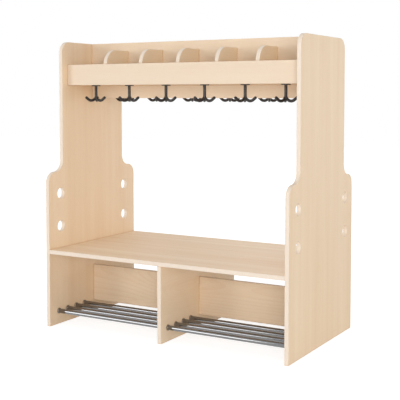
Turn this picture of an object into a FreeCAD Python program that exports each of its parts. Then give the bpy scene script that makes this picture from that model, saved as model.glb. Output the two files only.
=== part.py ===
import FreeCAD, Part
import math
import os
import Sketcher

# Double-sided cloakroom bench made of laminated boards.
# Two stepped side panels carry a seat, a spine with open compartments and swivel coat hooks
# on both sides, and shoe racks of round tube under the seat.
# X runs along the seat, Y from front to rear, Z up. The origin is the middle of the footprint.

DRIVING_SIZES = (
    ("unit_length", 1200.0, "overall length over both side panels"),
    ("unit_height", 1290.0, "overall height of the side panels"),
    ("board_thickness", 18.0, "thickness of every board"),
    ("edge_rounding", 1.2, "rounding of the banded board edges"),
    ("lower_depth", 670.0, "depth of a side panel below its step"),
    ("upper_depth", 466.0, "depth of a side panel above its step"),
    ("step_height", 700.0, "height of the step in a side panel"),
    ("step_radius", 50.0, "rounding of the step, outside and inside"),
    ("top_radius", 50.0, "rounding of the upper corners of a side panel"),
    ("hand_hole_radius", 25.0, "radius of the round holes in the side panels"),
    ("hand_hole_reach", 250.0, "distance of the round holes from the middle plane"),
    ("seat_height", 350.0, "height of the seat surface"),
    ("seat_divider_setback", 8.0, "setback of the seat divider behind the seat edge"),
    ("lower_spine_bottom", 60.0, "height of the lower edge of the lower spine"),
    ("lower_spine_height", 172.0, "height of the lower spine boards"),
    ("shelf_drop", 197.0, "distance of the underside of the shelves below the top of the unit"),
    ("upper_spine_drop", 59.0, "distance of the lower edge of the upper spine below the shelves"),
    ("lip_reach", 195.0, "distance of the outer face of a lip from the middle plane"),
    ("lip_height", 93.0, "height of a lip board"),
    ("compartment_divider_height", 140.0, "height of a compartment divider above its shelf"),
    ("compartment_nose_radius", 70.0, "rounding of the upper outer corner of a divider"),
    ("tube_radius", 10.0, "outer radius of a rack tube"),
    ("tube_wall", 1.2, "wall of a rack tube"),
    ("tube_height", 60.0, "height of the tube axes"),
    ("tube_first_reach", 84.0, "distance of the innermost tube from the middle plane"),
    ("tube_pitch", 63.0, "distance between neighbouring tubes"),
    ("bush_collar_radius", 12.6, "radius of the collar that shows round a tube end"),
    ("bush_collar_length", 5.0, "length of the collar"),
    ("bush_barrel_radius", 11.4, "radius of the barrel sunk in the board"),
    ("bush_web", 1.0, "wood left between a bush and the middle of its board"),
    ("hook_reach", 114.0, "distance of the hook axes from the middle plane"),
    ("hook_end_distance", 101.5, "distance of the end hooks from the side panels"),
    ("hook_drop", 76.2, "lowest point of a hook below the shelf"),
    ("flange_radius", 20.0, "radius of a hook flange"),
    ("flange_thickness", 4.0, "thickness of a hook flange"),
    ("flange_bevel", 0.8, "bevel of the lower rim of a hook flange"),
    ("stem_shoulder", 0.25, "excess of the hook stem radius over a prong radius"),
    ("stem_foot", 12.0, "height of the rounded stem end above the lowest point of the hook"),
    ("stem_foot_rounding", 4.5, "rounding of the stem end"),
    ("prong_radius", 6.25, "radius of a hook prong"),
    ("prong_root_offset", 0.2, "offset of a prong from the stem axis where it leaves the stem"),
    ("prong_overlap", 6.0, "straight run of a prong inside the stem"),
    ("prong_bend_radius", 23.5, "radius of the bend of a prong on its centre line"),
    ("prong_rise_angle", 40.0, "rise of a prong towards its tip, in degrees"),
    ("prong_tip_run", 17.4, "straight run at the tip of a prong"),
    ("prong_tip_rounding", 5.2, "rounding of a prong tip"),
    ("rivet_radius", 3.0, "radius of the swivel rivet"),
    ("rivet_head_radius", 5.0, "radius of the rivet head"),
    ("rivet_head_thickness", 1.6, "thickness of the rivet head"),
    ("rivet_seat_depth", 12.0, "depth of the rivet in the stem"),
    ("running_clearance", 0.05, "radial clearance of the rivet in its flange"),
    ("swivel_clearance", 0.3, "free play between the turning hook and its flange"),
    ("screw_radius", 1.75, "radius of a flange screw"),
    ("screw_head_radius", 3.5, "radius of the countersunk screw head"),
    ("screw_length", 16.0, "length of a flange screw"),
    ("screw_point_length", 3.0, "length of the screw point"),
    ("screw_circle_radius", 12.2, "radius of the screw circle in a flange"),
    ("dowel_radius", 4.0, "radius of a dowel"),
    ("dowel_bevel", 0.8, "bevel at the dowel ends"),
    ("dowel_face_depth", 12.0, "depth of a dowel in the face of a board"),
    ("dowel_edge_depth", 18.0, "depth of a dowel in the edge of a board"),
    ("dowel_end_clearance", 0.5, "spare depth of a dowel bore"),
    ("fit_clearance", 0.1, "radial clearance of fittings in their bores"),
    ("bore_overrun", 1.0, "reach of a bore past the face that it starts from"),
    ("seat_cam_reach", 220.0, "distance of the seat cams from the middle plane"),
    ("cam_to_dowel", 32.0, "distance of a dowel from the cam beside it"),
    ("spine_dowel_spacing", 55.0, "distance of the dowels in the ends of a spine board"),
    ("shelf_dowel_spacing", 55.0, "distance of the shelf end dowels from the cam"),
    ("lip_dowel_spacing", 24.0, "distance of the lip end dowels from the middle of the lip"),
    ("divider_dowel_spacing", 50.0, "distance of the divider dowels from the middle of the shelf"),
    ("cam_radius", 7.5, "radius of a cam housing"),
    ("cam_floor", 4.5, "depth of a cam housing past the middle of its board"),
    ("cam_setback", 34.0, "distance of a cam axis from the joint"),
    ("cam_mouth_radius", 4.0, "radius of the mouth in a cam housing"),
    ("cam_mouth_overrun", 5.0, "reach of the mouth past the cam axis"),
    ("cam_slot_width", 1.4, "width of the screwdriver slot in a cam"),
    ("cam_slot_depth", 1.6, "depth of the screwdriver slot in a cam"),
    ("cam_bolt_radius", 3.0, "radius of a cam bolt"),
    ("cam_bolt_neck_radius", 2.0, "radius of the neck of a cam bolt"),
    ("cam_bolt_head_radius", 3.2, "radius of the head of a cam bolt"),
    ("cam_bolt_head_length", 6.0, "length of the head of a cam bolt"),
    ("cam_bolt_neck_length", 5.0, "length of the neck of a cam bolt"),
    ("cam_thread_radius", 2.5, "radius of the threaded end of a cam bolt"),
    ("cam_thread_depth", 11.0, "depth of the threaded end in the board face"),
)

COMPARTMENT_DIVIDERS = 5
TUBES_PER_BAY = 4
PRONGS = 3
FLANGE_SCREWS = 3
HOOK_PLACES = (-1, -0.612, -0.204, 0.204, 0.612, 1)
HAND_HOLE_PLACES = (("low", 2 / 7), ("high", 5 / 7))

LARGEST_STEP_ROUNDING = 0.49
LARGEST_NOSE_ROUNDING = 0.95
PARALLEL = 0.999
NEAR = 1e-6

SIDES = (("left", -1), ("right", 1))
FACES = (("front", -1), ("rear", 1))

ALONG_X = FreeCAD.Vector(1, 0, 0)
ALONG_Y = FreeCAD.Vector(0, 1, 0)
ALONG_Z = FreeCAD.Vector(0, 0, 1)
UPRIGHT = FreeCAD.Rotation()

document = FreeCAD.newDocument("cloakroom_bench")


class Size:
    """A length that carries its number and the sheet expression that gives it."""

    def __init__(self, number, expression):
        self.number = number
        self.expression = expression

    def joined(self, sign, other, number):
        return Size(number, f"({self.expression} {sign} {other.expression})")

    def __add__(self, other):
        other = as_size(other)
        return self.joined("+", other, self.number + other.number)

    def __sub__(self, other):
        other = as_size(other)
        return self.joined("-", other, self.number - other.number)

    def __mul__(self, factor):
        factor = as_size(factor)
        return self.joined("*", factor, self.number * factor.number)

    def __truediv__(self, divisor):
        divisor = as_size(divisor)
        return self.joined("/", divisor, self.number / divisor.number)

    def __neg__(self):
        return Size(-self.number, f"(0 - {self.expression})")


def as_size(value):
    if isinstance(value, Size):
        return value
    return Size(value, f"({value})")


def smaller(first, second):
    return Size(min(first.number, second.number), f"min({first.expression}; {second.expression})")


def fill_sheet():
    """Write the driving sizes to the sheet and return them by name."""
    sheet = document.addObject("Spreadsheet::Sheet", "Sizes")
    named = {}
    for row, (alias, value, meaning) in enumerate(DRIVING_SIZES, 1):
        sheet.set(f"A{row}", meaning)
        sheet.set(f"B{row}", str(value))
        sheet.setAlias(f"B{row}", alias)
        named[alias] = Size(value, f"Sizes.{alias}")
    document.recompute()
    return named


def bind(item, **properties):
    for name, size in properties.items():
        item.setExpression(name, as_size(size).expression)


def place(item, spot, turn=UPRIGHT):
    """Turn an item, then tie its place to the sheet."""
    item.Placement = FreeCAD.Placement(FreeCAD.Vector(), turn)
    for axis, size in zip("xyz", spot):
        item.setExpression(f"Placement.Base.{axis}", as_size(size).expression)


def shifted(spot, direction, distance):
    """The spot moved by a size along a unit direction."""
    return tuple(as_size(start) + distance * step for start, step in zip(spot, direction))


def pointing(direction):
    return FreeCAD.Rotation(ALONG_Z, direction)


def origin_part(body, role):
    return next(part for part in body.Origin.OriginFeatures if part.Role == role)


def new_sketch(body, role, name, height=None):
    sketch = body.newObject("Sketcher::SketchObject", name)
    sketch.AttachmentSupport = [(origin_part(body, role), "")]
    sketch.MapMode = "FlatFace"
    if height is not None:
        sketch.setExpression("AttachmentOffset.Base.z", height.expression)
    return sketch


def vector(point):
    return FreeCAD.Vector(as_size(point[0]).number, as_size(point[1]).number, 0)


def name_constraint(sketch, index, name, size):
    sketch.renameConstraint(index, name)
    sketch.setExpression(f"Constraints.{name}", size.expression)


def hold_point(sketch, geometry, corner, point, name):
    """Tie a sketch point to its two distances from the sketch origin."""
    for direction, axis, size in (("DistanceX", -2, point[0]), ("DistanceY", -1, point[1])):
        size = as_size(size)
        if size.number == 0:
            sketch.addConstraint(Sketcher.Constraint("PointOnObject", geometry, corner, axis))
            continue
        distance = Sketcher.Constraint(direction, -1, 1, geometry, corner, size.number)
        name_constraint(sketch, sketch.addConstraint(distance), f"{name}_{direction}", size)


def draw_outline(sketch, points):
    """Draw a closed polygon whose corners are tied to the sheet."""
    for start, end in zip(points, points[1:] + points[:1]):
        sketch.addGeometry(Part.LineSegment(vector(start), vector(end)))
    for line in range(len(points)):
        following = (line + 1) % len(points)
        sketch.addConstraint(Sketcher.Constraint("Coincident", line, 2, following, 1))
    for line, point in enumerate(points):
        hold_point(sketch, line, 1, point, f"corner_{line}")


def draw_circle(sketch, centre, radius, name):
    """Draw a circle whose centre and radius are tied to the sheet."""
    circle = Part.Circle(vector(centre), ALONG_Z, radius.number)
    geometry = sketch.addGeometry(circle)
    hold_point(sketch, geometry, 3, centre, name)
    size = Sketcher.Constraint("Radius", geometry, radius.number)
    name_constraint(sketch, sketch.addConstraint(size), f"{name}_radius", radius)


def pad(body, sketch, name, length):
    feature = body.newObject("PartDesign::Pad", name)
    feature.Profile = sketch
    bind(feature, Length=length)
    document.recompute()
    return feature


def round_edges(body, base, name, radius, wanted):
    """Round every edge of the base that the given test picks."""
    edges = [f"Edge{n}" for n, edge in enumerate(base.Shape.Edges, 1) if wanted(edge)]
    feature = body.newObject("PartDesign::Fillet", name)
    feature.Base = (base, edges)
    bind(feature, Radius=radius)
    document.recompute()
    return feature


def runs_along(direction):
    """A test for straight edges along a direction."""
    def test(edge):
        start, end = edge.Vertexes[0].Point, edge.Vertexes[-1].Point
        run = end - start
        return run.Length > 0 and abs(run.dot(direction)) > PARALLEL * run.Length
    return test


def lies_in_board_face(edge):
    return edge.BoundBox.XLength < NEAR


def turned(name, profile):
    """A turned piece from its half section, with radius across and height up."""
    body = document.addObject("PartDesign::Body", name)
    sketch = new_sketch(body, "XZ_Plane", f"{name}_section")
    draw_outline(sketch, profile)
    turning = body.newObject("PartDesign::Revolution", f"{name}_turning")
    turning.Profile = sketch
    turning.ReferenceAxis = (sketch, ["V_Axis"])
    turning.Angle = 360
    document.recompute()
    return body


def copy_of(master, label, spot, turn=UPRIGHT):
    copy = document.addObject("Part::Compound", label)
    copy.Links = [master]
    place(copy, spot, turn)
    return copy


size = fill_sheet()
board = size["board_thickness"]
half_board = board / 2
half_length = size["unit_length"] / 2
clear_half = half_length - board
half_depth = size["lower_depth"] / 2
seat_underside = size["seat_height"] - board
shelf_underside = size["unit_height"] - size["shelf_drop"]
shelf_top = shelf_underside + board
shelf_middle = shelf_underside + half_board
lip_back = size["lip_reach"] - board
shelf_depth = lip_back - half_board
shelf_centre = (lip_back + half_board) / 2
compartment_pitch = (clear_half * 2 - board) / (COMPARTMENT_DIVIDERS + 1)
lower_spine_middle = size["lower_spine_bottom"] + size["lower_spine_height"] / 2
upper_spine_height = size["shelf_drop"] + size["upper_spine_drop"]
upper_spine_bottom = size["unit_height"] - upper_spine_height
upper_spine_middle = size["unit_height"] - upper_spine_height / 2
bay_length = clear_half - half_board

pieces = []
blanks = {}
bores = {}
groups = {}


def add_blank(label, body):
    blanks[label] = body
    bores[label] = []


def add_board(label, low_corner, extent, edge_run=None):
    """A rectangular board; its banded edges along one direction are rounded."""
    body = document.addObject("PartDesign::Body", f"{label}_blank")
    sketch = new_sketch(body, "XY_Plane", f"{label}_outline")
    length, width, height = extent
    draw_outline(sketch, [(0, 0), (length, 0), (length, width), (0, width)])
    blank = pad(body, sketch, f"{label}_pad", height)
    if edge_run is not None:
        round_edges(body, blank, f"{label}_edges", size["edge_rounding"], runs_along(edge_run))
    place(body, low_corner)
    add_blank(label, body)


def add_side_panel(side, sign):
    """A stepped panel with four round holes, drawn from its lower front corner."""
    label = f"{side}_side_panel"
    body = document.addObject("PartDesign::Body", f"{label}_blank")
    sketch = new_sketch(body, "YZ_Plane", f"{label}_outline")
    depth = size["lower_depth"]
    step = (size["lower_depth"] - size["upper_depth"]) / 2
    draw_outline(sketch, [
        (0, 0),
        (depth, 0),
        (depth, size["step_height"]),
        (depth - step, size["step_height"]),
        (depth - step, size["unit_height"]),
        (step, size["unit_height"]),
        (step, size["step_height"]),
        (0, size["step_height"]),
    ])
    for face, toward in FACES:
        for level, share in HAND_HOLE_PLACES:
            height = size["seat_height"] + (size["step_height"] - size["seat_height"]) * share
            centre = (half_depth + size["hand_hole_reach"] * toward, height)
            draw_circle(sketch, centre, size["hand_hole_radius"], f"hole_{face}_{level}")
    blank = pad(body, sketch, f"{label}_pad", board)

    def at_height(height):
        across = runs_along(ALONG_X)
        return lambda edge: across(edge) and abs(edge.CenterOfMass.z - height.number) < NEAR

    step_radius = smaller(size["step_radius"], step * LARGEST_STEP_ROUNDING)
    stepped = round_edges(body, blank, f"{label}_step", step_radius, at_height(size["step_height"]))
    topped = round_edges(
        body, stepped, f"{label}_top", size["top_radius"], at_height(size["unit_height"])
    )
    round_edges(body, topped, f"{label}_edges", size["edge_rounding"], lies_in_board_face)
    outer = clear_half if sign > 0 else -half_length
    place(body, (outer, -half_depth, 0))
    add_blank(label, body)


def add_compartment_divider(face, sign, number):
    """An upright divider with a large rounded nose towards the lip."""
    label = f"{face}_compartment_divider_{number}"
    height = size["compartment_divider_height"]
    body = document.addObject("PartDesign::Body", f"{label}_blank")
    sketch = new_sketch(body, "YZ_Plane", f"{label}_outline")
    draw_outline(sketch, [(0, 0), (shelf_depth, 0), (shelf_depth, height), (0, height)])
    blank = pad(body, sketch, f"{label}_pad", board)

    def is_nose(edge):
        middle = edge.CenterOfMass
        upper = abs(middle.z - height.number) < NEAR
        nose_side = 0 if sign < 0 else shelf_depth.number
        return upper and runs_along(ALONG_X)(edge) and abs(middle.y - nose_side) < NEAR

    nose_radius = smaller(size["compartment_nose_radius"], height * LARGEST_NOSE_ROUNDING)
    nosed = round_edges(body, blank, f"{label}_nose", nose_radius, is_nose)

    def is_banded(edge):
        upper = edge.BoundBox.ZMax > size["edge_rounding"].number
        against_spine = abs(edge.CenterOfMass.y - (shelf_depth.number if sign < 0 else 0)) < NEAR
        return lies_in_board_face(edge) and upper and not against_spine

    round_edges(body, nosed, f"{label}_edges", size["edge_rounding"], is_banded)
    middle = compartment_pitch * (number - (COMPARTMENT_DIVIDERS + 1) / 2)
    near = -lip_back if sign < 0 else half_board
    place(body, (middle - half_board, near, shelf_top))
    add_blank(label, body)


def add_boards():
    for side, sign in SIDES:
        add_side_panel(side, sign)
    clear_length = clear_half * 2
    add_board(
        "bench_top",
        (-clear_half, -half_depth, seat_underside),
        (clear_length, size["lower_depth"], board),
        ALONG_X,
    )
    divider_depth = size["lower_depth"] - size["seat_divider_setback"] * 2
    add_board(
        "seat_divider",
        (-half_board, -divider_depth / 2, 0),
        (board, divider_depth, seat_underside),
        ALONG_Z,
    )
    for side, sign in SIDES:
        start = half_board if sign > 0 else -clear_half
        add_board(
            f"lower_spine_{side}",
            (start, -half_board, size["lower_spine_bottom"]),
            (bay_length, board, size["lower_spine_height"]),
            ALONG_X,
        )
    add_board(
        "upper_spine",
        (-clear_half, -half_board, upper_spine_bottom),
        (clear_length, board, upper_spine_height),
        ALONG_X,
    )
    for face, sign in FACES:
        shelf_near = half_board if sign > 0 else -lip_back
        add_board(
            f"{face}_shelf",
            (-clear_half, shelf_near, shelf_underside),
            (clear_length, shelf_depth, board),
        )
        lip_near = lip_back if sign > 0 else -size["lip_reach"]
        add_board(
            f"{face}_lip",
            (-clear_half, lip_near, shelf_underside),
            (clear_length, board, size["lip_height"]),
            ALONG_X,
        )
        for number in range(1, COMPARTMENT_DIVIDERS + 1):
            add_compartment_divider(face, sign, number)


def add_fitting(group, solid, spot, turn):
    """Set one small fitting at its spot."""
    members = groups.setdefault(group, [])
    members.append(copy_of(solid, f"{group}_{len(members) + 1}", spot, turn))


def bore_board(label, bore, spot, turn):
    """Set one bore that is cut out of a board."""
    holes = bores[label]
    holes.append(copy_of(bore, f"{label}_bore_{len(holes) + 1}", spot, turn))


def rod_section(radius, bottom, top, bevel):
    """Half section of a plain rod with bevelled ends."""
    return [
        (0, bottom),
        (radius - bevel, bottom),
        (radius, bottom + bevel),
        (radius, top - bevel),
        (radius - bevel, top),
        (0, top),
    ]


def plain_section(radius, bottom, top):
    return [(0, bottom), (radius, bottom), (radius, top), (0, top)]


def make_dowels():
    """Dowels start at the bottom of the face bore; their origin is the joint."""
    spare = size["dowel_end_clearance"]
    bore_radius = size["dowel_radius"] + size["fit_clearance"]
    face_end = -size["dowel_face_depth"]
    edge_end = size["dowel_edge_depth"]
    dowel = turned(
        "dowel_pattern",
        rod_section(size["dowel_radius"], face_end, edge_end, size["dowel_bevel"]),
    )
    dowel_bore = turned(
        "dowel_bore_pattern", plain_section(bore_radius, face_end - spare, edge_end + spare)
    )
    far_end = half_board + size["dowel_edge_depth"]
    through_dowel = turned(
        "through_dowel_pattern",
        rod_section(size["dowel_radius"], -far_end, far_end, size["dowel_bevel"]),
    )
    through_bore = turned(
        "through_dowel_bore_pattern", plain_section(bore_radius, -far_end - spare, far_end + spare)
    )

    def dowel_at(spot, direction, *boards):
        add_fitting("dowels", dowel, spot, pointing(direction))
        for label in boards:
            bore_board(label, dowel_bore, spot, pointing(direction))

    def through_dowel_at(spot, direction, *boards):
        add_fitting("through_dowels", through_dowel, spot, pointing(direction))
        for label in boards:
            bore_board(label, through_bore, spot, pointing(direction))

    seat_dowel_reach = size["seat_cam_reach"] + size["cam_to_dowel"]
    spine_steps = [size["spine_dowel_spacing"] * step for step in (-1, 0, 1)]
    for side, sign in SIDES:
        panel = f"{side}_side_panel"
        inward = ALONG_X * -sign
        end = clear_half * sign
        for face, toward in FACES:
            seat_spot = (end, seat_dowel_reach * toward, seat_underside + half_board)
            dowel_at(seat_spot, inward, panel, "bench_top")
            for way in (-1, 1):
                along_shelf = shelf_centre * toward + size["shelf_dowel_spacing"] * way
                dowel_at((end, along_shelf, shelf_middle), inward, panel, f"{face}_shelf")
                lip_middle = shelf_underside + size["lip_height"] / 2
                up_lip = lip_middle + size["lip_dowel_spacing"] * way
                lip_spot = (end, (lip_back + half_board) * toward, up_lip)
                dowel_at(lip_spot, inward, panel, f"{face}_lip")
        for step in spine_steps:
            dowel_at((end, 0, lower_spine_middle + step), inward, panel, f"lower_spine_{side}")
            dowel_at((end, 0, upper_spine_middle + step), inward, panel, "upper_spine")
    for face, toward in FACES:
        spot = (0, seat_dowel_reach * toward, seat_underside)
        dowel_at(spot, -ALONG_Z, "bench_top", "seat_divider")
        for number in range(1, COMPARTMENT_DIVIDERS + 1):
            middle = compartment_pitch * (number - (COMPARTMENT_DIVIDERS + 1) / 2)
            for way in (-1, 1):
                along = shelf_centre * toward + size["divider_dowel_spacing"] * way
                divider = f"{face}_compartment_divider_{number}"
                dowel_at((middle, along, shelf_top), ALONG_Z, f"{face}_shelf", divider)
    for step in spine_steps:
        spot = (0, 0, lower_spine_middle + step)
        through_dowel_at(spot, ALONG_X, "seat_divider", "lower_spine_left", "lower_spine_right")
    for compartment in range(COMPARTMENT_DIVIDERS + 1):
        middle = compartment_pitch * (compartment - COMPARTMENT_DIVIDERS / 2)
        spot = (middle, 0, shelf_middle)
        through_dowel_at(spot, ALONG_Y, "upper_spine", "front_shelf", "rear_shelf")
        for face, toward in FACES:
            spot = (middle, lip_back * toward, shelf_middle)
            dowel_at(spot, ALONG_Y * -toward, f"{face}_lip", f"{face}_shelf")


def make_cams():
    """Cam housings and their bolts, which pull two boards together."""
    spare = size["dowel_end_clearance"]
    clearance = size["fit_clearance"]
    shoulder = size["cam_setback"] - size["cam_bolt_neck_length"] - size["cam_bolt_head_length"] / 2
    head_start = shoulder + size["cam_bolt_neck_length"]
    head_end = head_start + size["cam_bolt_head_length"]
    bolt = turned("cam_bolt_pattern", [
        (0, -size["cam_thread_depth"]),
        (size["cam_thread_radius"], -size["cam_thread_depth"]),
        (size["cam_thread_radius"], 0),
        (size["cam_bolt_radius"], 0),
        (size["cam_bolt_radius"], shoulder),
        (size["cam_bolt_neck_radius"], shoulder),
        (size["cam_bolt_neck_radius"], head_start),
        (size["cam_bolt_head_radius"], head_start),
        (size["cam_bolt_head_radius"], head_end),
        (0, head_end),
    ])
    overrun = size["bore_overrun"]
    mouth_radius = size["cam_mouth_radius"]
    face_bore = turned(
        "cam_thread_bore_pattern",
        plain_section(size["cam_thread_radius"] + clearance, -size["cam_thread_depth"] - spare, overrun),
    )
    bolt_bore = turned("cam_bolt_bore", plain_section(mouth_radius, -overrun, size["cam_setback"]))
    housing_bore = document.addObject("Part::Cylinder", "cam_housing_bore")
    housing_depth = half_board + size["cam_floor"] + spare
    bind(housing_bore, Radius=size["cam_radius"] + clearance, Height=housing_depth + overrun)
    seam_behind_bolt = FreeCAD.Rotation(ALONG_Z, FreeCAD.Vector(), ALONG_X, "ZXY")
    place(housing_bore, (-half_board - overrun, 0, size["cam_setback"]), seam_behind_bolt)
    edge_bore = document.addObject("Part::Fuse", "cam_edge_bore_pattern")
    edge_bore.Base = bolt_bore
    edge_bore.Tool = housing_bore
    blank = turned("cam_blank", plain_section(size["cam_radius"], -half_board, size["cam_floor"]))
    mouth = document.addObject("Part::Cylinder", "cam_mouth")
    bind(mouth, Radius=mouth_radius, Height=size["cam_radius"] + size["cam_mouth_overrun"])
    place(mouth, (-size["cam_radius"], 0, 0), pointing(ALONG_X))
    slot = document.addObject("Part::Box", "cam_slot")
    bind(slot, Length=size["cam_radius"] * 2, Width=size["cam_slot_width"], Height=size["cam_slot_depth"])
    place(slot, (-size["cam_radius"], -size["cam_slot_width"] / 2, -half_board))
    recesses = document.addObject("Part::Compound", "cam_recesses")
    recesses.Links = [mouth, slot]
    housing = document.addObject("Part::Cut", "cam_housing_pattern")
    housing.Base = blank
    housing.Tool = recesses

    def cam_at(spot, direction, bored_along, face_board, edge_board):
        bolt_turn = FreeCAD.Rotation(bored_along, FreeCAD.Vector(), direction, "ZXY")
        add_fitting("cam_bolts", bolt, spot, bolt_turn)
        bore_board(face_board, face_bore, spot, bolt_turn)
        bore_board(edge_board, edge_bore, spot, bolt_turn)
        cam_turn = FreeCAD.Rotation(direction, FreeCAD.Vector(), bored_along, "XZY")
        add_fitting("cam_housings", housing, shifted(spot, direction, size["cam_setback"]), cam_turn)

    for side, sign in SIDES:
        panel = f"{side}_side_panel"
        inward = ALONG_X * -sign
        end = clear_half * sign
        for face, toward in FACES:
            seat_spot = (end, size["seat_cam_reach"] * toward, seat_underside + half_board)
            cam_at(seat_spot, inward, ALONG_Z, panel, "bench_top")
            shelf_spot = (end, shelf_centre * toward, shelf_middle)
            cam_at(shelf_spot, inward, -ALONG_Z, panel, f"{face}_shelf")
    for face, toward in FACES:
        spot = (0, size["seat_cam_reach"] * toward, seat_underside)
        cam_at(spot, -ALONG_Z, ALONG_X, "bench_top", "seat_divider")


def make_shoe_racks():
    """Round tubes whose ends sit in collared bushes in the boards."""
    clearance = size["fit_clearance"]
    seat = half_board - size["bush_web"]
    tube_bore = size["tube_radius"] + clearance
    collar_end = size["bush_collar_length"]
    bush = turned("bush_pattern", [
        (tube_bore, -seat),
        (size["bush_barrel_radius"], -seat),
        (size["bush_barrel_radius"], 0),
        (size["bush_collar_radius"], 0),
        (size["bush_collar_radius"], collar_end - size["dowel_bevel"]),
        (size["bush_collar_radius"] - size["dowel_bevel"], collar_end),
        (tube_bore, collar_end),
    ])
    bush_bore = turned(
        "bush_bore_pattern",
        plain_section(size["bush_barrel_radius"] + clearance, -seat - clearance, size["bore_overrun"]),
    )
    tube_end = bay_length / 2 + seat
    inner_radius = size["tube_radius"] - size["tube_wall"]
    tube = turned("tube_pattern", [
        (inner_radius, -tube_end),
        (size["tube_radius"], -tube_end),
        (size["tube_radius"], tube_end),
        (inner_radius, tube_end),
    ])
    bay_middle = half_board + bay_length / 2
    for face, toward in FACES:
        for side, sign in SIDES:
            rack = []
            for number in range(TUBES_PER_BAY):
                reach = (size["tube_first_reach"] + size["tube_pitch"] * number) * toward
                spot = (bay_middle * sign, reach, size["tube_height"])
                label = f"{face}_{side}_tube_{number + 1}"
                rack.append(copy_of(tube, label, spot, pointing(ALONG_X)))
                for board_label, face_x, way in (
                    (f"{side}_side_panel", clear_half * sign, -sign),
                    ("seat_divider", half_board * sign, sign),
                ):
                    bush_spot = (face_x, reach, size["tube_height"])
                    turn = pointing(ALONG_X * way)
                    add_fitting("tube_bushes", bush, bush_spot, turn)
                    bore_board(board_label, bush_bore, bush_spot, turn)
            groups[f"{face}_{side}_rack_tubes"] = rack


def make_hook_pattern():
    """A stem that splits into bent prongs, standing on the lowest point of its prongs."""
    body = document.addObject("PartDesign::Body", "hook_pattern")
    stem_top = size["hook_drop"] - size["flange_thickness"] - size["swivel_clearance"]
    stem_sketch = new_sketch(body, "XY_Plane", "hook_stem_outline", size["stem_foot"])
    stem_radius = size["prong_radius"] + size["stem_shoulder"]
    draw_circle(stem_sketch, (0, 0), stem_radius, "stem")
    stem = pad(body, stem_sketch, "hook_stem", stem_top - size["stem_foot"])

    def is_stem_foot(edge):
        return edge.BoundBox.ZMax < size["stem_foot"].number + NEAR

    round_edges(body, stem, "hook_stem_foot", size["stem_foot_rounding"], is_stem_foot)

    bend_radius = size["prong_bend_radius"]
    root = size["prong_root_offset"]
    bend_start = size["prong_radius"] + bend_radius
    path = new_sketch(body, "XZ_Plane", "hook_prong_path")
    root_top = (root, bend_start + size["prong_overlap"])
    bend_centre = (root + bend_radius, bend_start)
    end_turn = 1.5 * math.pi + math.radians(size["prong_rise_angle"].number)
    bend = Part.ArcOfCircle(
        Part.Circle(vector(bend_centre), ALONG_Z, bend_radius.number), math.pi, end_turn
    )
    rise = math.radians(size["prong_rise_angle"].number)
    tip_run = FreeCAD.Vector(math.cos(rise), math.sin(rise), 0) * size["prong_tip_run"].number
    path.addGeometry(Part.LineSegment(vector(root_top), vector((root, bend_start))))
    path.addGeometry(bend)
    tip = bend.EndPoint + tip_run
    path.addGeometry(Part.LineSegment(bend.EndPoint, tip))
    hold_point(path, 0, 1, root_top, "root")
    hold_point(path, 1, 3, bend_centre, "bend_centre")
    path.addConstraint(Sketcher.Constraint("Tangent", 0, 2, 1, 1))
    path.addConstraint(Sketcher.Constraint("Tangent", 1, 2, 2, 1))
    path.addConstraint(Sketcher.Constraint("Vertical", 0))
    run = path.addConstraint(Sketcher.Constraint("Distance", 2, size["prong_tip_run"].number))
    name_constraint(path, run, "tip_run", size["prong_tip_run"])
    slope = path.addConstraint(Sketcher.Constraint("Angle", -1, 1, 2, 1, rise))
    name_constraint(path, slope, "rise_angle", size["prong_rise_angle"] * Size(1, "1 deg"))

    section = new_sketch(body, "XY_Plane", "hook_prong_section", root_top[1])
    draw_circle(section, (root, 0), size["prong_radius"], "prong")
    document.recompute()
    prong = body.newObject("PartDesign::AdditivePipe", "hook_prong")
    prong.Profile = section
    prong.Spine = (path, ["Edge1", "Edge2", "Edge3"])
    document.recompute()
    prongs = body.newObject("PartDesign::PolarPattern", "hook_prongs")
    prongs.Originals = [prong]
    prongs.Axis = (origin_part(body, "Z_Axis"), [""])
    prongs.Angle = 360
    prongs.Occurrences = PRONGS
    body.Tip = prongs
    document.recompute()

    def is_tip(edge):
        middle = edge.CenterOfMass
        return edge.isClosed() and abs(math.hypot(middle.x, middle.y) - tip.x) < NEAR

    round_edges(body, prongs, "hook_tips", size["prong_tip_rounding"], is_tip)

    socket = new_sketch(body, "XY_Plane", "hook_rivet_outline", stem_top)
    draw_circle(socket, (0, 0), size["rivet_radius"], "rivet")
    pocket = body.newObject("PartDesign::Pocket", "hook_rivet_socket")
    pocket.Profile = socket
    bind(pocket, Length=size["rivet_seat_depth"])
    document.recompute()
    return body


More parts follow.
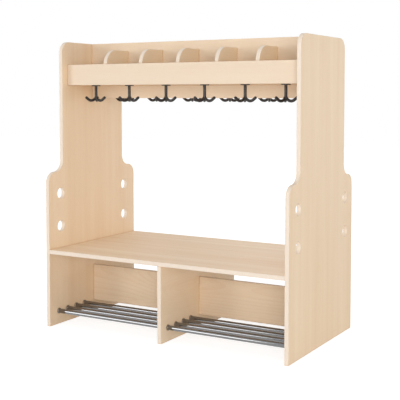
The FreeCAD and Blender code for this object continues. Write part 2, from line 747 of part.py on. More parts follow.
def make_hooks():
    """Swivel hooks: a flange screwed to the shelf, and a hook that turns on its rivet."""
    clearance = size["fit_clearance"]
    play = size["swivel_clearance"]
    thickness = size["flange_thickness"]
    rivet_bore = size["rivet_radius"] + size["running_clearance"]
    head_recess = size["rivet_head_radius"] + play
    recess_floor = thickness - size["rivet_head_thickness"] - play * 2
    flange_blank = turned("flange_blank", [
        (rivet_bore, 0),
        (size["flange_radius"] - size["flange_bevel"], 0),
        (size["flange_radius"], size["flange_bevel"]),
        (size["flange_radius"], thickness),
        (head_recess, thickness),
        (head_recess, recess_floor),
        (rivet_bore, recess_floor),
    ])
    shank = size["screw_radius"]
    head = size["screw_head_radius"]
    point = size["screw_length"] - size["screw_point_length"]
    screw = turned("screw_pattern", [
        (0, 0),
        (head, 0),
        (shank, head - shank),
        (shank, point),
        (0, size["screw_length"]),
    ])
    screw_bore = turned("screw_bore_pattern", [
        (0, -size["bore_overrun"]),
        (head + clearance, -size["bore_overrun"]),
        (head + clearance, 0),
        (shank + clearance, head - shank),
        (shank + clearance, size["screw_length"] + clearance),
        (0, size["screw_length"] + clearance),
    ])
    screw_turns = [FreeCAD.Rotation(ALONG_Z, 360 / FLANGE_SCREWS * n) for n in range(FLANGE_SCREWS)]

    def screw_spot(turn):
        direction = turn.multVec(ALONG_Y)
        return shifted((0, 0, 0), direction, size["screw_circle_radius"])

    flange_bores = document.addObject("Part::Compound", "flange_screw_holes")
    flange_bores.Links = [
        copy_of(screw_bore, f"flange_screw_hole_{n}", screw_spot(turn))
        for n, turn in enumerate(screw_turns, 1)
    ]
    flange = document.addObject("Part::Cut", "flange_pattern")
    flange.Base = flange_blank
    flange.Tool = flange_bores

    shank_bottom = -play - size["rivet_seat_depth"]
    head_bottom = recess_floor + play
    rivet = turned("rivet_pattern", [
        (0, shank_bottom),
        (size["rivet_radius"], shank_bottom),
        (size["rivet_radius"], head_bottom),
        (size["rivet_head_radius"], head_bottom),
        (size["rivet_head_radius"], head_bottom + size["rivet_head_thickness"]),
        (0, head_bottom + size["rivet_head_thickness"]),
    ])
    hook = make_hook_pattern()
    flange_bottom = shelf_underside - thickness
    end_hook = clear_half - size["hook_end_distance"]
    flanges = []
    for face, toward in FACES:
        half_turn = FreeCAD.Rotation(ALONG_Z, 0 if toward < 0 else 180)
        for number, place_share in enumerate(HOOK_PLACES, 1):
            name = f"{face}_hook_{number}"
            along = end_hook * place_share
            reach = size["hook_reach"] * toward
            pieces.append(
                copy_of(hook, name, (along, reach, shelf_underside - size["hook_drop"]), half_turn)
            )
            mount = (along, reach, flange_bottom)
            pieces.append(copy_of(rivet, f"{name}_rivet", mount))
            flanges.append(copy_of(flange, f"{name}_flange", mount))
            for turn in screw_turns:
                spot = tuple(a + b for a, b in zip(mount, screw_spot(turn)))
                add_fitting("hook_screws", screw, spot, UPRIGHT)
                bore_board(f"{face}_shelf", screw_bore, spot, UPRIGHT)
    groups["hook_flanges"] = flanges


def finish_boards():
    """Cut the bores of the fittings out of every board."""
    for label, blank in blanks.items():
        drilled = document.addObject("Part::Cut", label)
        drilled.Base = blank
        holes = document.addObject("Part::Compound", f"{label}_bores")
        holes.Links = bores[label]
        drilled.Tool = holes
        pieces.append(drilled)


def finish_groups():
    """Gather like fittings into one piece of separate solids."""
    for label, members in groups.items():
        group = document.addObject("Part::Compound", label)
        group.Links = members
        pieces.append(group)


def check_model():
    for item in document.Objects:
        if "Invalid" in item.State or "Error" in item.State:
            raise RuntimeError(f"{item.Label} could not be made: {item.State}")
    for piece in pieces:
        if piece.Shape.isNull() or not piece.Shape.isValid() or not piece.Shape.Solids:
            raise RuntimeError(f"{piece.Label} has no sound solid")


def write_pieces():
    os.makedirs("parts", exist_ok=True)
    for piece in pieces:
        piece.Shape.exportStep(f"parts/{piece.Label}.step")
        print(piece.Label, len(piece.Shape.Solids), "solids", round(piece.Shape.Volume / 1000, 2), "cm3")


add_boards()
make_dowels()
make_cams()
make_shoe_racks()
make_hooks()
finish_boards()
finish_groups()
document.recompute()
check_model()
write_pieces()
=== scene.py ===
import math

import bpy
from bpy.props import FloatProperty, FloatVectorProperty, PointerProperty
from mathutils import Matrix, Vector


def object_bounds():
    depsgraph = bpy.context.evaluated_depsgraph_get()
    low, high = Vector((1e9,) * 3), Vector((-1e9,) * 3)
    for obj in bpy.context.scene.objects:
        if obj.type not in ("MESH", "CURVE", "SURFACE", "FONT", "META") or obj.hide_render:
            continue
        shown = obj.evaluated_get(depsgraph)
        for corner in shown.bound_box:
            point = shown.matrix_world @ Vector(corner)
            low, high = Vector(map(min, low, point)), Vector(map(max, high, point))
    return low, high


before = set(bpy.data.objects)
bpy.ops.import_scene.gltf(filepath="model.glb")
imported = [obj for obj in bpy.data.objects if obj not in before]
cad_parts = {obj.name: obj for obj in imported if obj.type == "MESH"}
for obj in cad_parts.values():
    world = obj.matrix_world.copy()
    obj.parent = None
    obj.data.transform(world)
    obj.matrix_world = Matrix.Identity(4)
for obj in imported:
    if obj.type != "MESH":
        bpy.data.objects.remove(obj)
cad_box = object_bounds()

# Looks of a double-sided cloakroom bench: maple-look laminate boards with paler banded edges,
# chromed shoe racks, graphite swivel hooks, small joinery and a white studio.

bl_info = {
    "name": "Cloakroom bench",
    "version": (1, 0, 0),
    "blender": (4, 5, 0),
    "location": "3D View > Sidebar > Cloakroom",
    "description": "Finishes and studio for a double-sided cloakroom bench",
    "category": "Object",
}

HOOKS_PER_SIDE = 6
DIVIDERS_PER_SIDE = 5
FACES = ("front", "rear")
SIDES = ("left", "right")
LAMPS = ("key", "fill", "rear", "back")

# Noise waves in a metre; a pair gives them along the grain or the drawing lines, and across
DRIFT_WAVES = (1.3, 5.0)
HEART_WAVES = (1.1, 2.0)
STREAK_WAVES = (0.8, 21.0)
FIBRE_WAVES = (7.0, 420.0)
FLECK_WAVES = (46.0, 820.0)
BAND_WAVES = 160.0
DRAWING_WAVES = (5.0, 900.0)
HAZE_WAVES = 38.0
ENAMEL_WAVES = 110.0
TURNING_WAVES = 2600.0
STEEL_WAVES = 420.0
BEECH_WAVES = 900.0
RAY_WAVES = 330.0
NOISE_MIDDLE = 0.5

# Sockets of a Mix node that take and give colours
MIX_INPUTS = (0, 6, 7)
MIX_OUTPUT = 2

# Half the floor's width and its gap under the bench in metres, and the sensor's width in millimetres
FLOOR_HALF = 14.0
FLOOR_GAP = 0.0005
SENSOR_WIDTH = 36.0

# Rise of a direction, from level to upright, at which the sky has its full strength
FULL_SKY_RISE = 0.8


def tone(name, description, default):
    """A colour setting."""
    return FloatVectorProperty(
        name=name, description=description, default=default, subtype="COLOR", size=3, min=0.0, max=1.0
    )


def tint(name, description, default):
    """Painted light and shade: a cast of some boards, fitted to their tones in the photo together with the
    lamps.
    """
    return FloatVectorProperty(
        name=name, description=description, default=default, subtype="COLOR", size=3, min=0.0, soft_max=1.1
    )


def length(name, description, default):
    """A length setting in metres."""
    return FloatProperty(
        name=name, description=description, default=default, min=0.0, subtype="DISTANCE", unit="LENGTH",
        precision=5,
    )


def share(name, description, default):
    """A setting between nothing and all."""
    return FloatProperty(
        name=name, description=description, default=default, min=0.0, max=1.0, subtype="FACTOR"
    )


def spot(name, description, default):
    """A place in metres."""
    return FloatVectorProperty(
        name=name, description=description, default=default, size=3, subtype="TRANSLATION", unit="LENGTH"
    )


def spread(name, description, default):
    """A width and a height in metres."""
    return FloatVectorProperty(
        name=name, description=description, default=default, size=2, min=0.0, unit="LENGTH"
    )


def power(name, description, default):
    """A lamp power in watts."""
    return FloatProperty(name=name, description=description, default=default, min=0.0, unit="POWER")


class MapleLaminate(bpy.types.PropertyGroup):
    """Decor of the boards and of their banded edges."""

    pale: tone("Pale wood", "Palest wood of the decor", (0.905, 0.745, 0.575))
    deep: tone("Deep wood", "Deepest wood of the decor", (0.79, 0.58, 0.39))
    fleck: tone("Flecks", "Short dark flecks between the fibres", (0.64, 0.46, 0.30))
    band: tone("Edge band", "Banded edges of the boards", (0.81, 0.70, 0.59))
    seam: tone("Band seam", "Glue line between a band and the decor", (0.62, 0.39, 0.20))
    # Painted shade: the joint colour darkens the inner corners that the ambient occlusion finds, where shade
    # falls
    joint: tone("Joint", "Dust and glue in the inner corners of the joints", (0.66, 0.41, 0.20))
    # The casts paint light and shade: the seat and divider casts are paler as painted light under the seat,
    # the lip, spine and compartment casts darker as painted shade, the panel cast warmer as painted warm
    # light
    panel_painted_light: tint("Panel tint", "Cast of the side panels", (1.005, 0.98, 0.925))
    seat_painted_light: tint("Seat tint", "Cast of the bench top and the lower spines", (1.025, 1.03, 1.02))
    divider_painted_light: tint("Divider tint", "Cast of the seat divider", (1.06, 1.075, 1.055))
    lip_painted_shade: tint("Lip tint", "Cast of the lips before the shelves", (0.91, 0.93, 0.955))
    spine_painted_shade: tint("Spine tint", "Cast of the upper spine", (0.965, 0.98, 0.985))
    compartment_painted_shade: tint("Compartment tint", "Cast of the shelves and their dividers", (0.97, 0.945, 0.875))
    mean_depth: share("Mean depth", "Share of the deep wood on the whole", 0.33)
    fibre_depth: share("Fibre depth", "Share of the deep wood that comes and goes with the fibres", 0.30)
    fleck_depth: share("Fleck depth", "Strength of the flecks", 0.45)
    seam_depth: share("Seam depth", "Strength of the glue line", 0.35)
    joint_depth: share("Joint depth", "Strength of the shade along a joint", 0.7)
    joint_width: length("Joint width", "Width of the shade along a joint", 0.007)
    ring_spacing: length("Ring spacing", "Distance of the growth rings in the decor", 0.010)
    heart_aside: length("Heart aside", "Distance of the heart from the middle of a board", 0.03)
    heart_depth: length("Heart depth", "Depth of the heart where the rings arch most", 0.11)
    drift_reach: length("Drift reach", "Width within which the grain wanders", 0.05)
    flitch_width: length("Flitch width", "Width after which the decor mirrors itself", 0.24)
    grain_depth: length("Grain depth", "Depth of the pressed grain", 0.00006)
    roughness: share("Roughness", "Roughness of the satin surface", 0.56)
    sheen_level: share("Gloss level", "Strength of the reflection on the satin surface", 0.22)


class ChromeRack(bpy.types.PropertyGroup):
    """Plating of the rack tubes and their collars."""

    plate: tone("Tube plate", "Colour of the chromed tubes", (0.23, 0.23, 0.235))
    collar: tone("Collar plate", "Colour of the collars round the tube ends", (0.33, 0.30, 0.27))
    roughness: share("Tube roughness", "Roughness of the polished plate", 0.060)
    collar_roughness: share("Collar roughness", "Roughness of the collars", 0.285)


class GraphiteHook(bpy.types.PropertyGroup):
    """Enamel of the swivel hooks and their flanges."""

    enamel: tone("Enamel", "Colour of the graphite enamel", (0.022, 0.020, 0.020))
    worn: tone("Thin enamel", "Colour where the enamel lies thin", (0.060, 0.055, 0.052))
    roughness: share("Roughness", "Roughness of the satin enamel", 0.36)
    peel_size: length("Peel size", "Size of the fine waves in the enamel", 0.0012)


class SmallJoinery(bpy.types.PropertyGroup):
    """Finishes of rivets, screws, cams and dowels."""

    rivet: tone("Rivet steel", "Plain steel of the rivets", (0.45, 0.45, 0.46))
    screw: tone("Screw steel", "Blackened steel of the flange screws", (0.07, 0.07, 0.07))
    zinc: tone("Cam zinc", "Bright zinc of the cams and bolts", (0.55, 0.55, 0.57))
    beech: tone("Beech", "Raw beech of the dowels", (0.66, 0.46, 0.28))
    rivet_roughness: share("Rivet roughness", "Roughness of the rivets", 0.35)
    screw_roughness: share("Screw roughness", "Roughness of the flange screws", 0.45)
    zinc_roughness: share("Zinc roughness", "Roughness of the cams and bolts", 0.38)
    beech_roughness: share("Beech roughness", "Roughness of the dowels", 0.65)


class StudioStage(bpy.types.PropertyGroup):
    """Camera, floor, sky and lamps."""

    camera_place: spot("Camera place", "Where the camera stands", (2.00718, -3.42137, 1.04217))
    camera_tilt: FloatProperty(
        name="Camera tilt", description="Downward tilt of the camera", default=math.radians(3.5891),
        subtype="ANGLE",
    )
    camera_turn: FloatProperty(
        name="Camera turn", description="Turn of the camera about the upright", default=math.radians(30.2903),
        subtype="ANGLE",
    )
    lens: FloatProperty(
        name="Lens", description="Focal length on a 36 mm sensor", default=79.912, min=1.0,
        subtype="DISTANCE_CAMERA", unit="CAMERA",
    )
    shift: FloatProperty(
        name="Frame shift", description="Rise of the picture in the frame", default=-0.12
    )
    floor: share("Floor", "Paleness of the floor", 0.95)
    floor_glow: share("Floor glow", "Share of the white floor that takes no shadow", 0.80)
    floor_shade: share("Floor shade", "Share of the white floor that takes the shadow", 0.42)
    low_sky: share("Low sky", "Strength of the soft light from all round", 0.10)
    high_sky: share("High sky", "Strength of the soft light from overhead", 0.76)
    key_place: spot("Key place", "Where the key lamp hangs", (4.840, -6.910, 1.700))
    key_power: power("Key power", "Power of the key lamp", 270.0)
    key_spread: spread("Key spread", "Width and height of the key lamp", (4.1, 3.3))
    fill_place: spot("Fill place", "Where the fill lamp hangs", (-6.220, -9.220, 2.300))
    fill_power: power("Fill power", "Power of the fill lamp", 290.0)
    fill_spread: spread("Fill spread", "Width and height of the fill lamp", (4.2, 4.2))
    rear_place: spot("Rear place", "Where the rear lamp hangs", (3.620, 6.270, 1.350))
    rear_power: power("Rear power", "Power of the rear lamp", 64.0)
    rear_spread: spread("Rear spread", "Width and height of the rear lamp", (3.9, 2.6))
    back_place: spot("Back place", "Where the back lamp hangs", (-0.900, 7.200, 1.500))
    back_power: power("Back power", "Power of the back lamp", 125.0)
    back_spread: spread("Back spread", "Width and height of the back lamp", (5.0, 2.6))


SETTINGS = {
    "bench_laminate": MapleLaminate,
    "bench_rack": ChromeRack,
    "bench_hook": GraphiteHook,
    "bench_joinery": SmallJoinery,
    "bench_stage": StudioStage,
}


class Finish:
    """A node material with short calls for the nodes that make up a finish."""

    def __init__(self, name):
        self.material = bpy.data.materials.new(name)
        self.material.use_nodes = True
        self.tree = self.material.node_tree
        self.shader = self.tree.nodes["Principled BSDF"]
        self.place = self.node("ShaderNodeTexCoord")

    def node(self, kind, **options):
        made = self.tree.nodes.new(kind)
        for name, value in options.items():
            setattr(made, name, value)
        return made

    def feed(self, socket, value):
        """Give a socket a number, a colour or another node's output."""
        if isinstance(value, bpy.types.NodeSocket):
            self.tree.links.new(value, socket)
        elif hasattr(value, "__len__") and len(value) == 3 and len(socket.default_value) == 4:
            socket.default_value = (*value, 1.0)
        else:
            socket.default_value = value

    def reckon(self, operation, *values, clamp=False):
        """The result of one math node."""
        made = self.node("ShaderNodeMath", operation=operation, use_clamp=clamp)
        for socket, value in zip(made.inputs, values):
            self.feed(socket, value)
        return made.outputs[0]

    def times(self, first, second):
        return self.reckon("MULTIPLY", first, second)

    def plus(self, first, second):
        return self.reckon("ADD", first, second)

    def uneven(self, noise, width, middle):
        """A value that a noise spreads over a width about its middle."""
        return self.reckon("MULTIPLY_ADD", self.plus(noise, -NOISE_MIDDLE), width, middle)

    def split(self, vector):
        made = self.node("ShaderNodeSeparateXYZ")
        self.feed(made.inputs[0], vector)
        return dict(zip("XYZ", made.outputs))

    def joined(self, first, second, third):
        made = self.node("ShaderNodeCombineXYZ")
        for socket, value in zip(made.inputs, (first, second, third)):
            self.feed(socket, value)
        return made.outputs[0]

    def noise(self, vector, scale=1.0, detail=2.0):
        made = self.node("ShaderNodeTexNoise")
        self.feed(made.inputs["Vector"], vector)
        made.inputs["Scale"].default_value = scale
        made.inputs["Detail"].default_value = detail
        return made.outputs[0]

    def drawn_noise(self, places, waves, detail=2.0):
        """Noise over three places, drawn out along the first of them."""
        along, across = waves
        scaled = [self.times(place, count) for place, count in zip(places, (along, across, across))]
        return self.noise(self.joined(*scaled), detail=detail)

    def ramp(self, value, low, high, start=0.0, end=1.0):
        """Carry a value smoothly from one range to another."""
        made = self.node("ShaderNodeMapRange", interpolation_type="SMOOTHSTEP")
        for socket, number in zip(made.inputs, (value, low, high, start, end)):
            self.feed(socket, number)
        return made.outputs[0]

    def blend(self, factor, first, second):
        made = self.node("ShaderNodeMix", data_type="RGBA")
        for number, value in zip(MIX_INPUTS, (factor, first, second)):
            self.feed(made.inputs[number], value)
        return made.outputs[MIX_OUTPUT]

    def bump(self, height, distance, strength):
        made = self.node("ShaderNodeBump")
        self.feed(made.inputs["Height"], height)
        made.inputs["Distance"].default_value = distance
        made.inputs["Strength"].default_value = strength
        self.feed(self.shader.inputs["Normal"], made.outputs[0])

    def surface(self, **values):
        """Set the shader's own sockets by name."""
        for name, value in values.items():
            self.feed(self.shader.inputs[name.replace("_", " ").title()], value)


def cast_by(colour, cast):
    """A colour taken through a tint."""
    return tuple(part * strength for part, strength in zip(colour, cast))


def darker(colour, level):
    """A colour at a share of its strength."""
    return tuple(part * level for part in colour)


def maple_laminate(name, axes, cast, figure, streaks=0.60, breadth=1.0):
    """Laminate with its grain along the first of three axes and its thickness along the last.

    The cast paints light and shade on these boards as a tint, the figure is the strength of the arched growth
    rings, the breadth their spacing, and the streaks the strength of the long bands of tone. The edges show
    their paler bands.
    """
    look = bpy.context.scene.bench_laminate
    # The cast paints light and shade into the pale, deep and fleck colours
    pale, deep, flecked = (cast_by(colour, cast) for colour in (look.pale, look.deep, look.fleck))
    finish = Finish(name)
    place = finish.place.outputs["Object"]
    split = finish.split(place)
    places = [split[axis] for axis in axes]
    side = places[1]

    bent_side = finish.uneven(finish.drawn_noise(places, DRIFT_WAVES), look.drift_reach, side)
    from_heart = finish.reckon("PINGPONG", finish.plus(bent_side, look.heart_aside), look.flitch_width / 2)
    heart_noise = finish.drawn_noise(places, HEART_WAVES, detail=1.0)
    heart_depth = finish.ramp(heart_noise, low=0.25, high=0.75, end=look.heart_depth)
    radius = finish.reckon(
        "SQRT", finish.plus(finish.times(from_heart, from_heart), finish.times(heart_depth, heart_depth))
    )
    rings = finish.reckon("FRACT", finish.reckon("DIVIDE", radius, look.ring_spacing * breadth))
    late_wood = finish.ramp(rings, low=0.35, high=1.0)
    ring_edge = finish.ramp(rings, low=0.0, high=0.12)
    ring_line = finish.times(late_wood, ring_edge)
    streak = finish.drawn_noise(places, STREAK_WAVES, detail=3.0)
    fibre = finish.drawn_noise(places, FIBRE_WAVES)
    fleck_noise = finish.drawn_noise(places, FLECK_WAVES, detail=1.0)
    fleck = finish.ramp(fleck_noise, low=0.66, high=0.78, end=look.fleck_depth)

    depth_of_tone = finish.uneven(streak, streaks, look.mean_depth)
    depth_of_tone = finish.reckon("MULTIPLY_ADD", ring_line, figure, depth_of_tone)
    depth_of_tone = finish.uneven(fibre, look.fibre_depth, depth_of_tone)
    wood = finish.blend(finish.reckon("MAXIMUM", depth_of_tone, 0.0, clamp=True), pale, deep)
    wood = finish.blend(fleck, wood, flecked)

    # The rounded rims turn from the broad side, facing 1, to the edge, facing 0
    facing = finish.reckon("ABSOLUTE", finish.split(finish.place.outputs["Normal"])[axes[-1]])
    band_share = finish.ramp(facing, low=0.93, high=0.80)
    seam_share = finish.times(
        finish.ramp(facing, low=0.86, high=0.93), finish.ramp(facing, low=0.995, high=0.96)
    )
    band_grain = finish.noise(place, scale=BAND_WAVES, detail=3.0)
    band = finish.blend(finish.ramp(band_grain, low=0.3, high=0.8, end=0.30), look.band, pale)
    colour = finish.blend(band_share, wood, band)
    colour = finish.blend(finish.times(seam_share, look.seam_depth), colour, look.seam)
    # Painted shade: where the ambient occlusion finds an inner corner, the colour darkens towards the joint
    # colour
    corner = finish.node("ShaderNodeAmbientOcclusion", samples=8)
    corner.inputs["Distance"].default_value = look.joint_width
    painted_joint_shade = finish.ramp(corner.outputs["AO"], low=1.0, high=0.35, end=look.joint_depth)
    colour = finish.blend(painted_joint_shade, colour, look.joint)

    finish.surface(base_color=colour, roughness=finish.uneven(fibre, 0.12, look.roughness))
    finish.shader.inputs["Specular IOR Level"].default_value = look.sheen_level
    relief = finish.reckon("MULTIPLY_ADD", ring_line, -0.5, fibre)
    finish.bump(relief, distance=look.grain_depth, strength=0.6)
    return finish.material


def chrome(name, plate, roughness):
    """Polished plate with faint drawing lines along the tube and soft haze."""
    finish = Finish(name)
    place = finish.place.outputs["Object"]
    lines = finish.drawn_noise(finish.split(place).values(), DRAWING_WAVES, detail=3.0)
    haze = finish.noise(place, scale=HAZE_WAVES, detail=4.0)
    dull = finish.ramp(haze, low=0.35, high=0.80, end=0.18)
    finish.surface(
        base_color=finish.blend(dull, plate, darker(plate, 0.82)),
        metallic=1.0,
        roughness=finish.uneven(lines, 0.06, finish.uneven(haze, 0.05, roughness)),
    )
    finish.bump(lines, distance=0.00002, strength=0.25)
    return finish.material


def graphite_enamel(name):
    """Satin dark enamel with fine waves, thinner in places."""
    look = bpy.context.scene.bench_hook
    finish = Finish(name)
    place = finish.place.outputs["Object"]
    peel = finish.noise(place, scale=1.0 / look.peel_size)
    cloud = finish.noise(place, scale=ENAMEL_WAVES, detail=4.0)
    thin = finish.ramp(cloud, low=0.46, high=0.74, end=0.8)
    finish.surface(
        base_color=finish.blend(thin, look.enamel, look.worn),
        metallic=0.35,
        roughness=finish.uneven(cloud, 0.20, look.roughness),
    )
    finish.bump(peel, distance=0.00008, strength=0.35)
    return finish.material


def turned_steel(name, colour, roughness):
    """Small steel piece with fine turning lines."""
    finish = Finish(name)
    place = finish.place.outputs["Object"]
    lines = finish.noise(place, scale=TURNING_WAVES)
    cloud = finish.noise(place, scale=STEEL_WAVES, detail=3.0)
    dull = finish.ramp(cloud, low=0.35, high=0.75, end=0.4)
    finish.surface(
        base_color=finish.blend(dull, colour, darker(colour, 0.7)),
        metallic=1.0,
        roughness=finish.uneven(lines, 0.18, roughness),
    )
    finish.bump(lines, distance=0.00003, strength=0.3)
    return finish.material


def raw_beech(name):
    """Unfinished beech with fine rays."""
    look = bpy.context.scene.bench_joinery
    finish = Finish(name)
    place = finish.place.outputs["Object"]
    fibre = finish.noise(place, scale=BEECH_WAVES, detail=3.0)
    ray = finish.ramp(finish.noise(place, scale=RAY_WAVES, detail=1.0), low=0.60, high=0.72, end=0.5)
    wood = finish.blend(finish.ramp(fibre, low=0.3, high=0.7), look.beech, darker(look.beech, 0.8))
    finish.surface(
        base_color=finish.blend(ray, wood, darker(look.beech, 0.6)),
        roughness=finish.uneven(fibre, 0.2, look.beech_roughness),
    )
    finish.bump(fibre, distance=0.00005, strength=0.5)
    return finish.material


def dress(names, material):
    """Give CAD nodes a finish of their own."""
    for name in names:
        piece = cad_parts[name]
        piece.data.materials.clear()
        piece.data.materials.append(material)


def on_both_faces(pattern, count):
    """Names of a piece that repeats along the front and along the rear."""
    return [pattern.format(face=face, number=n) for face in FACES for n in range(1, count + 1)]


class BENCH_OT_side_panels(bpy.types.Operator):
    """Dress the stepped side panels in laminate with upright grain"""

    bl_idname = "cloakroom.side_panels"
    bl_label = "Side panels"

    def execute(self, context):
        look = context.scene.bench_laminate
        upright = maple_laminate("laminate_upright", "ZYX", look.panel_painted_light, figure=0.05, streaks=1.0)
        dress([f"{side}_side_panel" for side in SIDES], upright)
        return {"FINISHED"}


class BENCH_OT_seat(bpy.types.Operator):
    """Dress the bench top, the seat divider and the lower spine boards"""

    bl_idname = "cloakroom.seat"
    bl_label = "Seat"

    def execute(self, context):
        look = context.scene.bench_laminate
        seat = maple_laminate("laminate_seat", "XYZ", look.seat_painted_light, figure=0.10, streaks=1.6)
        dress(["bench_top"], seat)
        divider = maple_laminate("laminate_seat_divider", "YZX", look.divider_painted_light, figure=0.08)
        dress(["seat_divider"], divider)
        lower_spine = maple_laminate("laminate_lower_spine", "XZY", look.seat_painted_light, figure=0.22, breadth=1.4)
        dress([f"lower_spine_{side}" for side in SIDES], lower_spine)
        return {"FINISHED"}


class BENCH_OT_coat_shelves(bpy.types.Operator):
    """Dress the upper spine, the shelves, their lips and the compartment dividers"""

    bl_idname = "cloakroom.coat_shelves"
    bl_label = "Coat shelves"

    def execute(self, context):
        look = context.scene.bench_laminate
        upper_spine = maple_laminate("laminate_upper_spine", "XZY", look.spine_painted_shade, figure=0.0, streaks=0.35)
        dress(["upper_spine"], upper_spine)
        lip = maple_laminate("laminate_lip", "XZY", look.lip_painted_shade, figure=0.0, streaks=0.35)
        dress(["front_lip", "rear_lip"], lip)
        shelf = maple_laminate("laminate_shelf", "XYZ", look.compartment_painted_shade, figure=0.05)
        dress(["front_shelf", "rear_shelf"], shelf)
        across = maple_laminate("laminate_compartment_divider", "YZX", look.compartment_painted_shade, figure=0.05)
        dress(on_both_faces("{face}_compartment_divider_{number}", DIVIDERS_PER_SIDE), across)
        return {"FINISHED"}


class BENCH_OT_shoe_racks(bpy.types.Operator):
    """Dress the rack tubes and the collars round their ends"""

    bl_idname = "cloakroom.shoe_racks"
    bl_label = "Shoe racks"

    def execute(self, context):
        look = context.scene.bench_rack
        racks = [f"{face}_{side}_rack_tubes" for face in FACES for side in SIDES]
        dress(racks, chrome("tube_plate", tuple(look.plate), look.roughness))
        dress(["tube_bushes"], chrome("collar_plate", tuple(look.collar), look.collar_roughness))
        return {"FINISHED"}


class BENCH_OT_swivel_hooks(bpy.types.Operator):
    """Dress the swivel hooks and their flanges"""

    bl_idname = "cloakroom.swivel_hooks"
    bl_label = "Swivel hooks"

    def execute(self, context):
        hooks = on_both_faces("{face}_hook_{number}", HOOKS_PER_SIDE)
        dress(hooks + ["hook_flanges"], graphite_enamel("hook_enamel"))
        return {"FINISHED"}


class BENCH_OT_joinery(bpy.types.Operator):
    """Dress the rivets, screws, cams and dowels"""

    bl_idname = "cloakroom.joinery"
    bl_label = "Joinery"

    def execute(self, context):
        look = context.scene.bench_joinery
        rivets = on_both_faces("{face}_hook_{number}_rivet", HOOKS_PER_SIDE)
        dress(rivets, turned_steel("rivet_steel", tuple(look.rivet), look.rivet_roughness))
        dress(["hook_screws"], turned_steel("screw_steel", tuple(look.screw), look.screw_roughness))
        zinc = turned_steel("cam_zinc", tuple(look.zinc), look.zinc_roughness)
        dress(["cam_bolts", "cam_housings"], zinc)
        dress(["dowels", "through_dowels"], raw_beech("dowel_beech"))
        return {"FINISHED"}


def seen_directly(tree):
    """A factor that is one for what the camera, a mirror or glass shows."""
    path = tree.nodes.new("ShaderNodeLightPath")
    factor = path.outputs["Is Camera Ray"]
    for ray in ("Is Glossy Ray", "Is Transmission Ray"):
        either = tree.nodes.new("ShaderNodeMath")
        either.operation = "MAXIMUM"
        tree.links.new(factor, either.inputs[0])
        tree.links.new(path.outputs[ray], either.inputs[1])
        factor = either.outputs[0]
    return factor


def white_floor(look):
    """Pale floor that shows as white and keeps the soft shadow."""
    material = bpy.data.materials.new("white_floor")
    material.use_nodes = True
    tree = material.node_tree
    tree.nodes.clear()
    seen = seen_directly(tree)
    strength = tree.nodes.new("ShaderNodeMapRange")
    strength.inputs["To Max"].default_value = look.floor_glow
    paleness = tree.nodes.new("ShaderNodeMapRange")
    paleness.inputs["To Min"].default_value = look.floor
    paleness.inputs["To Max"].default_value = look.floor_shade
    glow = tree.nodes.new("ShaderNodeEmission")
    plain = tree.nodes.new("ShaderNodeBsdfDiffuse")
    total = tree.nodes.new("ShaderNodeAddShader")
    output = tree.nodes.new("ShaderNodeOutputMaterial")
    for span, shader, socket in ((strength, glow, "Strength"), (paleness, plain, "Color")):
        tree.links.new(seen, span.inputs["Value"])
        tree.links.new(span.outputs[0], shader.inputs[socket])
    tree.links.new(glow.outputs[0], total.inputs[0])
    tree.links.new(plain.outputs[0], total.inputs[1])
    tree.links.new(total.outputs[0], output.inputs["Surface"])
    return material


def soft_lamp(look, lamp, target):
    """Hang one soft lamp with the settings that carry its name, turned to a target."""
    data = bpy.data.lights.new(f"{lamp}_lamp", "AREA")
    data.shape = "RECTANGLE"
    data.size, data.size_y = getattr(look, f"{lamp}_spread")
    data.energy = getattr(look, f"{lamp}_power")
    hung = bpy.data.objects.new(f"{lamp}_lamp", data)
    hung.location = getattr(look, f"{lamp}_place")
    hung.rotation_euler = (target - hung.location).to_track_quat("-Z", "Y").to_euler()
    bpy.context.scene.collection.objects.link(hung)


def white_world(look):
    """Soft light, strongest from overhead, that shows as white behind the bench."""
    world = bpy.data.worlds.new("studio_world")
    world.use_nodes = True
    tree = world.node_tree
    tree.nodes.clear()
    heading = tree.nodes.new("ShaderNodeTexCoord")
    rise = tree.nodes.new("ShaderNodeSeparateXYZ")
    strength = tree.nodes.new("ShaderNodeMapRange")
    strength.inputs["From Max"].default_value = FULL_SKY_RISE
    strength.inputs["To Min"].default_value = look.low_sky
    strength.inputs["To Max"].default_value = look.high_sky
    lighting = tree.nodes.new("ShaderNodeBackground")
    tree.links.new(heading.outputs["Generated"], rise.inputs[0])
    tree.links.new(rise.outputs["Z"], strength.inputs["Value"])
    tree.links.new(strength.outputs[0], lighting.inputs["Strength"])
    backdrop = tree.nodes.new("ShaderNodeBackground")
    backdrop.inputs["Strength"].default_value = 1.0
    for background in (lighting, backdrop):
        background.inputs["Color"].default_value = (1.0, 1.0, 1.0, 1.0)
    choice = tree.nodes.new("ShaderNodeMixShader")
    output = tree.nodes.new("ShaderNodeOutputWorld")
    tree.links.new(seen_directly(tree), choice.inputs[0])
    tree.links.new(lighting.outputs[0], choice.inputs[1])
    tree.links.new(backdrop.outputs[0], choice.inputs[2])
    tree.links.new(choice.outputs[0], output.inputs["Surface"])
    bpy.context.scene.world = world


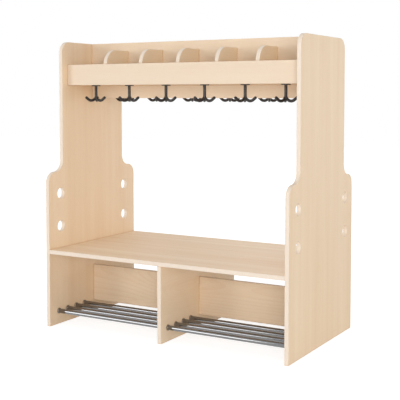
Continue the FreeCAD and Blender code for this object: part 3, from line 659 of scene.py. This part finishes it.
class BENCH_OT_stage(bpy.types.Operator):
    """Set up the floor, the soft light and the camera"""

    bl_idname = "cloakroom.stage"
    bl_label = "Stage"

    def execute(self, context):
        look = context.scene.bench_stage
        scene = context.scene
        ground = cad_box[0][2] - FLOOR_GAP
        mesh = bpy.data.meshes.new("studio_floor")
        turns = ((-1, -1), (1, -1), (1, 1), (-1, 1))
        corners = [(x * FLOOR_HALF, y * FLOOR_HALF, ground) for x, y in turns]
        mesh.from_pydata(corners, [], [(0, 1, 2, 3)])
        floor = bpy.data.objects.new("studio_floor", mesh)
        floor.data.materials.append(white_floor(look))
        scene.collection.objects.link(floor)

        middle = (Vector(cad_box[0]) + Vector(cad_box[1])) / 2
        for lamp in LAMPS:
            soft_lamp(look, lamp, middle)
        white_world(look)

        lens = bpy.data.cameras.new("studio_camera")
        lens.sensor_width = SENSOR_WIDTH
        lens.lens = look.lens
        lens.shift_y = look.shift
        camera = bpy.data.objects.new("studio_camera", lens)
        camera.location = look.camera_place
        camera.rotation_euler = (math.pi / 2 - look.camera_tilt, 0.0, look.camera_turn)
        scene.collection.objects.link(camera)
        scene.camera = camera
        scene.view_settings.view_transform = "Standard"
        return {"FINISHED"}


OPERATORS = (
    BENCH_OT_side_panels,
    BENCH_OT_seat,
    BENCH_OT_coat_shelves,
    BENCH_OT_shoe_racks,
    BENCH_OT_swivel_hooks,
    BENCH_OT_joinery,
    BENCH_OT_stage,
)


class BENCH_PT_looks(bpy.types.Panel):
    """Lists the steps that dress the bench, with their settings"""

    bl_idname = "BENCH_PT_looks"
    bl_label = "Cloakroom bench"
    bl_space_type = "VIEW_3D"
    bl_region_type = "UI"
    bl_category = "Cloakroom"

    def draw(self, context):
        for operator in OPERATORS:
            self.layout.operator(operator.bl_idname)
        for name, group in SETTINGS.items():
            box = self.layout.box()
            for setting in group.__annotations__:
                box.prop(getattr(context.scene, name), setting)


CLASSES = tuple(SETTINGS.values()) + OPERATORS + (BENCH_PT_looks,)


def register():
    for made in CLASSES:
        bpy.utils.register_class(made)
    for name, group in SETTINGS.items():
        setattr(bpy.types.Scene, name, PointerProperty(type=group))


def unregister():
    for name in SETTINGS:
        delattr(bpy.types.Scene, name)
    for made in reversed(CLASSES):
        bpy.utils.unregister_class(made)


def main():
    register()
    bpy.ops.cloakroom.side_panels()
    bpy.ops.cloakroom.seat()
    bpy.ops.cloakroom.coat_shelves()
    bpy.ops.cloakroom.shoe_racks()
    bpy.ops.cloakroom.swivel_hooks()
    bpy.ops.cloakroom.joinery()
    bpy.ops.cloakroom.stage()


if __name__ == "__main__":
    main()
